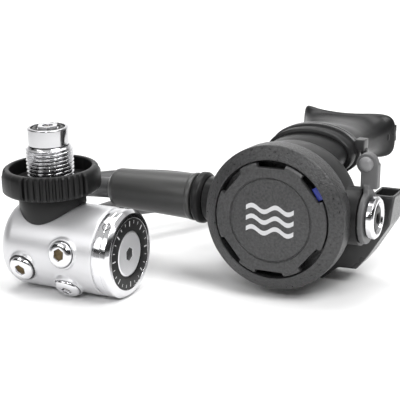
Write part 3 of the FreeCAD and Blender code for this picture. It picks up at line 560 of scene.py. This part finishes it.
def wheel_radius(turn, groove, lobe, crest):
    """Three smooth lobes between three ribbed stretches."""
    place = (math.degrees(turn) + WHEEL_TURN + 60) % 120 - 60
    if abs(place) > RIBBED_HALF:
        return lobe - 0.6 * max(0, 1 - (abs(place) - RIBBED_HALF) / 2.5)
    wave = math.cos(2 * math.pi * (place / RIB_STEP + 0.5))
    share = min(1, max(0, 0.5 + 1.3 * wave))
    return crest - groove * (1 - share)


def wheel_ring(level, groove, lobe, crest):
    return (lambda turn: wheel_radius(turn, groove, lobe, crest), level)


wheel = around(
    "ribbed_wheel",
    spot(INLET, 0, 0, WHEEL_BASE),
    [
        (13.5, 0),
        (21.5, 0),
        wheel_ring(0.35, 0.2, 22.6, 22.2),
        wheel_ring(1.0, 0.7, 23.5, 22.8),
        wheel_ring(2.0, 1.15, 24.1, 23.3),
        wheel_ring(6, 1.2, 24.2, 23.35),
        wheel_ring(9.6, 1.15, 24.1, 23.3),
        wheel_ring(10.9, 0.8, 23.6, 22.9),
        wheel_ring(11.7, 0.3, 22.7, 22.3),
        (21.6, 12),
        (20.5, 12),
        (20.0, 11.7),
        (19.9, 11.2),
        (19.9, 5.2),
        (19.4, 4.8),
        (12.5, 4.8),
        (12.5, 3.2),
        (13.5, 3.2),
    ],
    720,
)
piece("ribbed_wheel", wheel, wheel_plastic, "hand_wheel", "hand_wheel", 50)

PITCH = 1.814  # the inlet thread's
THREAD_ROOT, THREAD_HEIGHT = 10.3, 1.15
THREAD_START, THREAD_END = 5.1, 22.1
THREAD_RINGS = 150


def thread_ring(level):
    """The radius of the thread at a level, at a turn. The thread fades out at its end."""
    fade = THREAD_HEIGHT * min(1, (THREAD_END - level) / 0.9)
    return lambda turn: THREAD_ROOT + fade * thread_share(turn, level)


def thread_share(turn, level):
    phase = (level / PITCH - turn / (2 * math.pi)) % 1
    return min(1, max(0, 1.25 - 2.7 * abs(phase - 0.5)))


rings = [(8, 0.1), (13.4, 0.1), (13.4, 3.18), (12.4, 3.2), (12.4, 5), (10.4, 5)]
for step in range(THREAD_RINGS):
    level = THREAD_START + step * (THREAD_END - THREAD_START) / (THREAD_RINGS - 1)
    rings.append((thread_ring(level), level))
rings += [(10.0, 22.5), (8, 22.5)]
thread_mesh = around("inlet_thread", spot(INLET, 0, 0, WHEEL_BASE), rings, 96)
piece("inlet_thread", thread_mesh, thread_chrome, "hand_wheel", "din_coupler", 50)

NOSE_BASE = 50.5
turned(
    "inlet_nose",
    spot(INLET, 0, 0, NOSE_BASE),
    [
        (2.5, -35.3), (7.6, -35.3), (7.6, 0), (9.85, 0, 0.5), (9.85, 8.5, 0.9), (8.3, 8.5, 0.2), (8.3, 6.1),
        (5.2, 6.1), (5.2, 3.5), (2.5, 3.5),
    ],
    0.2, nose_chrome, "first_stage", "din_nose",
)
bevelled("filter_retainer", 0.25, chrome)

# The cap, its dial and its adjuster stand on the first stage's end. Heights are from the cap's start.
CAP_START = 22.2  # along the first stage
BARREL_END = 33
SEAM = BARREL_END - CAP_START
CAP_FACE = SEAM + 9.2
DIAL_BASE = CAP_FACE - 1.18
CAP_RADIUS = 21.5
turned(
    "polished_cap",
    spot(FIRST, CAP_START, 0, 0, RIGHT),
    [
        (14.5, 0), (18.45, 0), (18.45, SEAM + 0.02), (20.9, SEAM + 0.02, 0.2), (20.9, SEAM + 0.7, 0.15),
        (CAP_RADIUS, SEAM + 1.2, 0.3), (CAP_RADIUS, SEAM + 4.4, 0.3), (21.3, SEAM + 4.7, 0.2),
        (CAP_RADIUS, SEAM + 5.0, 0.3), (CAP_RADIUS, CAP_FACE - 1.8, 0.9), (19.7, CAP_FACE, 0.6),
        (17.4, CAP_FACE, 0.2), (17.4, CAP_FACE - 1.2), (11.2, CAP_FACE - 1.2), (11.2, SEAM + 1.2),
        (14.5, SEAM + 1.2),
    ],
    0.15, chrome, "first_stage", "first_stage_cap", 192,
)
# The spanner hole is drawn as a thin dark disc in the seal rubber finish on the cap's side: painted shade for
# the hole's depth.
hole_side = FIRST @ Matrix.Rotation(math.radians(-50), 4, "X")
turned(
    "spanner_hole",
    spot(hole_side, BARREL_END + 4.6, -CAP_RADIUS - 0.02, 0, FRONT),
    [(0, -0.3), (2.05, -0.3), (2.05, 0.05), (1.75, 0.05), (1.7, -0.25), (0, -0.28)],
    0.03, seal_rubber, "first_stage", None, 48,
)
dial_spot = spot(FIRST, CAP_START + DIAL_BASE, 0, 0, RIGHT)
turned(
    "dial",
    dial_spot,
    [(11.22, 0), (17.38, 0), (17.38, 1, 0.2), (11.22, 1, 0.2)],
    0.1, dial_black, "first_stage", "dial_ring", 192,
)


def slab(work, place, points, low, high):
    """A flat closed patch of the outline, from the low level to the high one."""
    bottom, top = [
        [work.verts.new(place @ (Vector((x, y, level)) * MM)) for x, y in points] for level in (low, high)
    ]
    work.faces.new(top)
    work.faces.new(bottom[::-1])
    for a in range(len(points)):
        b = (a + 1) % len(points)
        work.faces.new((bottom[a], bottom[b], top[b], top[a]))


DIAL_TICKS = 24
TICK_OUTER = 16.3
marks = bmesh.new()
for index in range(DIAL_TICKS):
    turn = 2 * math.pi * index / DIAL_TICKS
    long, half = (2.6, 0.28) if index % 3 == 0 else (1.5, 0.17)
    c, s = math.cos(turn), math.sin(turn)
    ends = ((TICK_OUTER - long, -half), (TICK_OUTER, -half), (TICK_OUTER, half), (TICK_OUTER - long, half))
    slab(marks, dial_spot, [(r * c - side * s, r * s + side * c) for r, side in ends], 0.98, 1.03)
piece("dial_marks", from_work("dial_marks", marks), mark_paint, "first_stage")

DISC_START = SEAM + 1.7
DISC_LENGTH = CAP_FACE - SEAM - 2
DISC_RADIUS = 11.18
disc_spot = spot(FIRST, CAP_START + DISC_START, 0, 0, RIGHT)
key = hexagon(6)
disc_rings = [
    (0, 0), (DISC_RADIUS, 0), (DISC_RADIUS, DISC_LENGTH - 0.9), (10.9, DISC_LENGTH - 0.35), (10.2, DISC_LENGTH),
    (9.4, DISC_LENGTH - 0.05), (4.4, DISC_LENGTH), (lambda turn: key(turn) + 0.45, DISC_LENGTH),
    (lambda turn: key(turn) + 0.1, DISC_LENGTH - 0.1), (key, DISC_LENGTH - 0.4), (key, DISC_LENGTH - 4.6),
    (0, DISC_LENGTH - 5),
]
disc = around("adjuster_disc", disc_spot, disc_rings, 144, False)
piece("adjuster_disc", disc, disc_steel, "first_stage", "spring_adjuster")
# A dark core in the seal rubber finish fills the adjuster's hexagon socket: painted shade for the socket's
# depth.
core = hexagon(5.96)
core_rings = [
    (0, DISC_LENGTH - 4.7), (core, DISC_LENGTH - 4.5), (core, DISC_LENGTH - 0.45),
    (lambda turn: core(turn) - 0.7, DISC_LENGTH - 1.2), (0, DISC_LENGTH - 1.3),
]
core_mesh = around("adjuster_socket_shade", disc_spot, core_rings, 96, False)
piece("adjuster_socket_shade", core_mesh, seal_rubber, "first_stage", None, 35)

# A port's plug sits this far from the barrel's axis.
PORT_FACE = 22.6
PLUG_HEAD = 6.3
PLUG_KEY = 5
# Each port: along the first stage, and degrees up from the front.
LOW_PORTS = [(17.5, 7), (17, -43)]
HIGH_PORTS = [(-5.5, -19), (8, 205)]


def port(along, angle):
    """A frame on a port's face."""
    out = FRONT.copy()
    out.rotate(Matrix.Rotation(math.radians(-angle), 3, "X"))
    return spot(FIRST, along, out.y * PORT_FACE, out.z * PORT_FACE, out)


def plug(place, shank):
    """A domed plug with a hexagon socket."""
    socket = hexagon(PLUG_KEY)
    rings = [
        (0, -5), (shank, -5), (shank, 0), (PLUG_HEAD, 0), (PLUG_HEAD, 0.7), (PLUG_HEAD - 0.25, 1.1),
        (PLUG_HEAD - 1.0, 1.75), (PLUG_HEAD - 2.0, 2.05), (PLUG_KEY / 2 + 0.9, 2.15),
        (lambda turn: socket(turn) + 0.2, 2.1), (socket, 1.8), (socket, -2.4), (0, -2.7),
    ]
    return around("plug", place, rings, 96, False)


def socket_floor(name, place):
    """The bottom of a plug's hexagon socket: brass colour darkened with painted shade."""
    socket = hexagon(PLUG_KEY - 0.04)
    rings = [(0, -2.6), (socket, -2.35), (socket, 0.3), (lambda turn: socket(turn) - 0.9, -0.4), (0, -0.6)]
    piece(name, around(name, place, rings, 96, False), socket_brass_shade, "first_stage", None, 35)


for letter, (along, angle) in zip("abcd", LOW_PORTS + HIGH_PORTS):
    socket_floor("plug_socket_" + letter, port(along, angle))
for name, ports, shank, node in (
    ("low_plugs", LOW_PORTS, 4.7, "low_pressure_plugs"),
    ("high_plugs", HIGH_PORTS, 5.4, "high_pressure_plugs"),
):
    work = bmesh.new()
    for along, angle in ports:
        work.from_mesh(plug(port(along, angle), shank))
    piece(name, from_work(name, work), chrome, "first_stage", node, 35)

# ---------------------------------------------------------------- second stage

COVER_BACK = -12  # in front of the valve barrel's axis
BUTTON_FACE = 14.5  # in front of the cover's back
turned(
    "cover_bezel",
    spot(SECOND, 0, COVER_BACK, 0, FRONT),
    [
        (32.6, 0), (35.15, 0, 0.5), (35.15, 9.9, 1.3), (28.4, 13.9, 0.7), (28.4, 6.2), (8.2, 6.2), (8.2, 4.9),
        (32.6, 4.9),
    ],
    0.2, cover_plastic, "second_stage", "front_cover", 256,
)
bevelled("purge_button", 0.3, button_plastic)
bevelled("blue_insert", 0.3, blue_plastic)
bevelled("second_stage_case", 0.5, case_plastic)
for name, width, finish in (
    ("valve_barrel", 0.15, chrome),
    ("inlet_orifice", 0.15, brass),
    ("lever_nut", 0.2, brass),
    ("demand_lever", 0.2, steel),
):
    bevelled(name, width, finish)
turned(
    "end_ring",
    spot(SECOND, 40.5, 0, 0, RIGHT),
    [(6.7, 0), (9.4, 0), (10.2, 0.8), (10.2, 3.2), (9.2, 4.2), (7.8, 4.2), (6.9, 2.6)],
    0.35, chrome, "second_stage", "barrel_end_ring",
)
turned(
    "end_plug",
    spot(SECOND, 30, 0, 0, RIGHT),
    [(2, 0), (5.18, 0), (5.18, 10.4), (6.6, 10.4), (6.6, 13.4), (5.6, 14.2), (3.2, 14.4), (2.2, 13.8)],
    0.25, dial_black, "second_stage", "balance_plug",
)
LEVER_HEAD = (38.6, -3.4, 26.2)
softened("venturi_lever", 0.4, 6, lever_plastic)
turned(
    "lever_knob",
    spot(SECOND, *LEVER_HEAD, FRONT),
    [(0, -1), (3.5, -1), (3.5, 0.5, 0.5), (3.2, 1.5, 1), (2, 2.4, 1), (0, 2.7)],
    0.4, knob_plastic, "venturi_lever", None, 64,
)
softened("exhaust_tee", 0.6, 7, tee_plastic)

MOUTH_LEVEL = 22.5  # above the valve barrel's axis
BEND_REACH = 28  # half the width over which the ends bend back


def oval(name, stations, segments=160):
    """A closed surface swept through ovals on the second stage: half width, half height in the
    middle, how far back, squareness, how far the ends bend back, and how much taller they are than
    the middle. The left end's upper corner stands highest."""
    vertices = []
    for width, tall, back, power, bend, flare in stations:
        for step in range(segments):
            turn = 2 * math.pi * step / segments
            c, s = math.cos(turn), math.sin(turn)
            x = width * math.copysign(abs(c) ** (2 / power), c)
            z = tall * math.copysign(abs(s) ** (2 / power), s)
            z *= 1 + flare * (x / width) ** 2
            if c < 0 < s:
                z *= 1 + 2.1 * flare * (x / width) ** 6
            y = back + bend * (x / BEND_REACH) ** 2
            vertices.append(SECOND @ (Vector((x, y, MOUTH_LEVEL + z)) * MM))
    return closed_mesh(name, vertices, ring_faces(len(stations), segments))


mouthpiece = oval(
    "mouthpiece_shell",
    [
        (20.6, 10.6, 24, 2, 0, 0), (22.2, 12.2, 24, 2, 0, 0), (22.7, 12.7, 24.6, 2, 0, 0),
        (22.7, 12.7, 31.5, 2, 0, 0), (22.7, 12.7, 39.5, 2, 0, 0), (22.6, 12.6, 45, 2.05, 0, 0),
        (21.6, 11.2, 54, 2.1, 0, 0), (20.8, 9.7, 63, 2.2, 0, 0.04), (21.2, 9.2, 71, 2.35, 1, 0.08),
        (22.4, 9.5, 77, 2.6, 2.5, 0.14), (24, 10.2, 80.6, 3, 4, 0.2), (25.3, 10.9, 82.2, 3.4, 5, 0.24),
        (26.2, 11.4, 82.9, 3.7, 5, 0.26), (26.5, 11.5, 83.9, 3.8, 5, 0.26), (26.2, 11.4, 84.9, 3.7, 5, 0.26),
        (25.2, 10.8, 85.4, 3.4, 5, 0.24), (20.2, 8.4, 84.6, 2.6, 4, 0.1), (18.2, 6.9, 82.5, 2.1, 2, 0),
        (18, 7.3, 70, 2, 0, 0), (18, 7.6, 60, 2, 0, 0), (18.3, 8.3, 40.1, 2, 0, 0), (20.6, 10.6, 40.1, 2, 0, 0),
    ],
)
piece("mouthpiece_shell", mouthpiece, silicone, "second_stage", "mouthpiece", 60)


def boxes(corners):
    """A bmesh of boxes on the second stage, each from its low corner to its high one."""
    work = bmesh.new()
    for low, high in corners:
        for vertex in bmesh.ops.create_cube(work, size=1)["verts"]:
            vertex.co = Vector([(a + (b - a) * (t + 0.5)) * MM for a, b, t in zip(low, high, vertex.co)])
    return work


def on_second(name, work):
    """An object from a bmesh made in the second stage's frame."""
    mesh = from_work(name, work)
    mesh.transform(SECOND)
    return linked(name, mesh)


# Each side's bite tab: its web and, across it, its thick end, each from one corner to the other.
TAB_WEB = ((16.5, 83, -1.9), (24.5, 98.6, 1.9))
TAB_END = ((16.5, 96.6, -4.6), (24.5, 98.8, 4.6))
for side, word in ((-1, "left"), (1, "right")):
    corners = [
        [(side * x, back, MOUTH_LEVEL + rise) for x, back, rise in ends] for ends in (TAB_WEB, TAB_END)
    ]
    item = on_second("tab", boxes(corners))
    remesh = item.modifiers.new("remesh", "REMESH")
    remesh.mode = "VOXEL"
    remesh.voxel_size = 0.45 * MM
    smooth = item.modifiers.new("smooth", "SMOOTH")
    smooth.iterations = 8
    piece("bite_tab_" + word, applied(item), silicone, "second_stage", None, 80)

# The strap's two ridges, with a groove between them.
band = [(22.75, 12.75, 33.1), (23.7, 13.7, 33.1), (24, 14, 33.4), (24, 14, 34.8), (23.6, 13.6, 35.1)]
band += [(23.6, 13.6, 35.9), (24, 14, 36.2), (24, 14, 37.6), (23.7, 13.7, 37.9), (22.75, 12.75, 37.9)]
strap = oval("strap_band", [(*station, 2, 0, 0) for station in band])
piece("strap_band", strap, strap_plastic, "second_stage", "mouthpiece_strap", 30)
buckle = boxes([((21.6, 32, 24.4), (26.5, 39, 30.2)), ((24.6, 33.6, 22.2), (27.4, 37.4, 25.4))])
item = on_second("strap_buckle", buckle)
edges = item.modifiers.new("edges", "BEVEL")
edges.width = 0.5 * MM
edges.segments = 3
piece("strap_buckle", applied(item), strap_plastic, "second_stage")

# A generic mark: three wavy lines.
MARK_HALF, MARK_STEP = 12, 0.5
WAVE_RISE, WAVE_LENGTH = 1.3, 12
LINE_HALF = 1.1
face_spot = spot(SECOND, 0, COVER_BACK - BUTTON_FACE, 0, FRONT)
mark = bmesh.new()
for level in (-5.2, 0, 5.2):
    across = [MARK_STEP * step - MARK_HALF for step in range(int(2 * MARK_HALF / MARK_STEP) + 1)]
    crest = [(x, level + WAVE_RISE * math.sin(2 * math.pi * x / WAVE_LENGTH)) for x in across]
    outline = [(x, y - LINE_HALF) for x, y in crest] + [(x, y + LINE_HALF) for x, y in reversed(crest)]
    slab(mark, face_spot, outline, -0.05, 0.06)
bmesh.ops.recalc_face_normals(mark, faces=mark.faces)
piece("cover_mark", from_work("cover_mark", mark), mark_paint, "purge_button")

# ---------------------------------------------------------------- floor

FLOOR_REACH = 9  # metres to the front and sides
CURVE_START, CURVE_RADIUS = 0.9, 0.5
BACKDROP_TOP = 2.0
FLOOR_DROP = 0.0002  # below the object

profile = [(-FLOOR_REACH, 0), (CURVE_START, 0)]
for degrees in range(10, 91, 10):
    turn = math.radians(degrees)
    profile.append((CURVE_START + CURVE_RADIUS * math.sin(turn), CURVE_RADIUS * (1 - math.cos(turn))))
profile.append((CURVE_START + CURVE_RADIUS, BACKDROP_TOP))
floor = bmesh.new()
left, right = [
    [floor.verts.new((x, y, z - FLOOR_DROP)) for y, z in profile] for x in (-FLOOR_REACH, FLOOR_REACH)
]
for a in range(len(profile) - 1):
    floor.faces.new((left[a], right[a], right[a + 1], left[a + 1]))
mesh = from_work("floor", floor)
mesh.shade_smooth()
mesh.materials.append(material("floor_paper", grey(0.9, 0.92, (1, 1, 1)), 0.9, speck=1, bump=0))
linked("floor", mesh)
